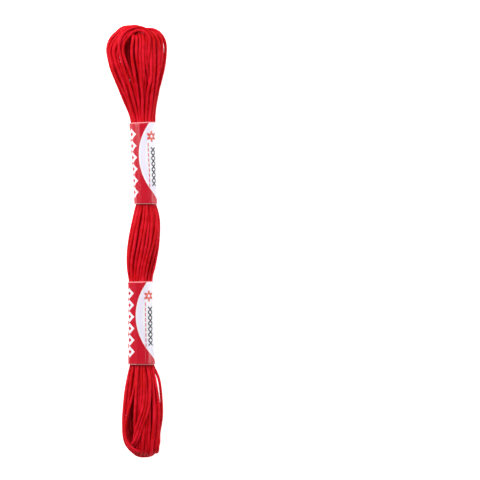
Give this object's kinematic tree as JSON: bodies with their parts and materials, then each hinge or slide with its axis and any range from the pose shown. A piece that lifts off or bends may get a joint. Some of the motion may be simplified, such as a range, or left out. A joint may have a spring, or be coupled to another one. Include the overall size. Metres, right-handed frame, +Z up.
{
  "type": "banded skein of embroidery floss",
  "caption": "Long wound skein of six-strand cotton floss with a rounded loop at each end, held at its two necks by printed paper bands, lying flat.",
  "frame": {"origin": "middle of the bounding box on the underside, which is the surface that the skein lies on", "axes": "+Y along the skein to its wider end loop, +X to the right seen from above, +Z up out of the surface"},
  "size_m": [0.0241, 0.17, 0.0115],
  "materials": {
    "floss": "mercerised six-strand cotton, silky",
    "band_paper": "glossy coated paper, printed red with a white field"
  },
  "bodies": {
    "root": {"skein": "floss", "band_upper": "band_paper", "band_lower": "band_paper"}
  },
  "joints": []
}
